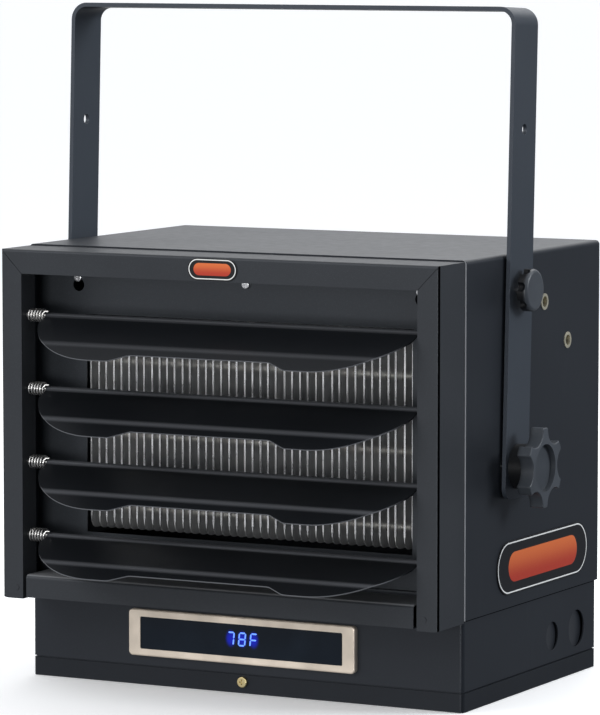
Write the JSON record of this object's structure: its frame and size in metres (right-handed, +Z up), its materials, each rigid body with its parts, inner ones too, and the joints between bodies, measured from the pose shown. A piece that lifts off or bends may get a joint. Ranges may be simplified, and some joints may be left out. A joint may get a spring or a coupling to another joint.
{
  "type": "garage heater",
  "caption": "Fan-forced electric garage heater: box cabinet, swinging louvres over finned elements, control base with display, tilting mounting bracket with star and lock knobs.",
  "frame": {"origin": "centre of the bottom tray's underside", "axes": "+Z up, the louvres face -Y, +X to the right seen from the front"},
  "size_m": [0.4276, 0.336, 0.5175],
  "materials": {
    "cabinet_paint": "satin powder coat",
    "frame_paint": "satin powder coat",
    "inner_paint": "satin",
    "louver_paint": "satin",
    "bracket_paint": "satin powder coat",
    "guard_paint": "satin",
    "spring_steel": "bright",
    "zinc_steel": "bright zinc",
    "yellow_zinc": "yellow zinc",
    "fin_steel": "dull",
    "sheath_steel": "dull",
    "ceramic": "matt ceramic",
    "motor_case": "satin",
    "fan_aluminium": "mill",
    "dark_plastic": "matt",
    "transformer_core": "matt",
    "board": "matt",
    "display_gloss": "gloss",
    "bezel_plastic": "satin metallic",
    "knob_plastic": "matt",
    "badge_plate": "gloss"
  },
  "bodies": {
    "cabinet": {"cabinet_shell": "cabinet_paint", "rear_panel": "cabinet_paint", "base_box": "cabinet_paint", "bottom_tray": "cabinet_paint", "front_frame": "frame_paint", "frame_sill": "frame_paint", "frame_rivets": "frame_paint", "inner_baffle": "inner_paint", "cabinet_deck": "inner_paint", "fan_shroud": "inner_paint", "motor_mount": "inner_paint", "rear_guard": "guard_paint", "louver_rods": "spring_steel", "louver_spring_1": "spring_steel", "louver_spring_2": "spring_steel", "louver_spring_3": "spring_steel", "louver_spring_4": "spring_steel", "baffle_screws": "zinc_steel", "rear_screws": "zinc_steel", "pivot_washers": "zinc_steel", "board_standoffs": "zinc_steel", "tray_screws": "yellow_zinc", "side_inserts": "yellow_zinc", "earth_screw": "yellow_zinc", "element_fins": "fin_steel", "element_plate_left": "fin_steel", "element_plate_right": "fin_steel", "heating_element_1": "sheath_steel", "heating_element_2": "sheath_steel", "heating_element_3": "sheath_steel", "element_insulators": "ceramic", "fan_motor": "motor_case", "limit_switch": "dark_plastic", "terminal_block": "dark_plastic", "relays": "dark_plastic", "transformer": "transformer_core", "display_board": "board", "control_board": "board", "display_module": "display_gloss", "display_window": "display_gloss", "display_bezel": "bezel_plastic", "badge_front": "badge_plate", "badge_side": "badge_plate"},
    "bracket": {"mounting_bracket": "bracket_paint"},
    "fan": {"motor_shaft": "zinc_steel", "fan_blade": "fan_aluminium", "fan_nut": "zinc_steel"},
    "star_knob_left": {"star_knob_left": "knob_plastic", "star_stud_left": "zinc_steel"},
    "star_knob_right": {"star_knob_right": "knob_plastic", "star_stud_right": "zinc_steel"},
    "lock_knob_left": {"lock_knob_left": "knob_plastic", "lock_stud_left": "zinc_steel"},
    "lock_knob_right": {"lock_knob_right": "knob_plastic", "lock_stud_right": "zinc_steel"},
    "louver_1": {"louver_1": "louver_paint"},
    "louver_2": {"louver_2": "louver_paint"},
    "louver_3": {"louver_3": "louver_paint"},
    "louver_4": {"louver_4": "louver_paint"}
  },
  "joints": [
    {"name": "bracket_tilt", "type": "hinge", "parent": "cabinet", "child": "bracket", "pos_m": [0, -0.03985, 0.175], "axis": [-1, 0, 0], "range_deg": [0, 46.8]},
    {"name": "star_knob_turn_left", "type": "hinge", "parent": "cabinet", "child": "star_knob_left", "pos_m": [-0.2, -0.03985, 0.175], "axis": [-1, 0, 0], "continuous": true},
    {"name": "star_knob_turn_right", "type": "hinge", "parent": "cabinet", "child": "star_knob_right", "pos_m": [0.2, -0.03985, 0.175], "axis": [1, 0, 0], "continuous": true},
    {"name": "lock_knob_slide_left", "type": "slide", "parent": "bracket", "child": "lock_knob_left", "axis": [-1, 0, 0], "range_m": [-0.0035, 0]},
    {"name": "lock_knob_slide_right", "type": "slide", "parent": "bracket", "child": "lock_knob_right", "axis": [1, 0, 0], "range_m": [-0.0035, 0]},
    {"name": "fan_spin", "type": "hinge", "parent": "cabinet", "child": "fan", "pos_m": [0, 0.03, 0.2101], "axis": [0, 1, 0], "continuous": true},
    {"name": "louver_swing_1", "type": "hinge", "parent": "cabinet", "child": "louver_1", "pos_m": [0, -0.15425, 0.283], "axis": [1, 0, 0], "range_deg": [-23.4, 36.6]},
    {"name": "louver_swing_2", "type": "hinge", "parent": "cabinet", "child": "louver_2", "pos_m": [0, -0.15425, 0.227], "axis": [1, 0, 0], "range_deg": [-24.5, 35.5]},
    {"name": "louver_swing_3", "type": "hinge", "parent": "cabinet", "child": "louver_3", "pos_m": [0, -0.15425, 0.171], "axis": [1, 0, 0], "range_deg": [-22.8, 37.2]},
    {"name": "louver_swing_4", "type": "hinge", "parent": "cabinet", "child": "louver_4", "pos_m": [0, -0.15425, 0.115], "axis": [1, 0, 0], "range_deg": [-19, 41]}
  ]
}
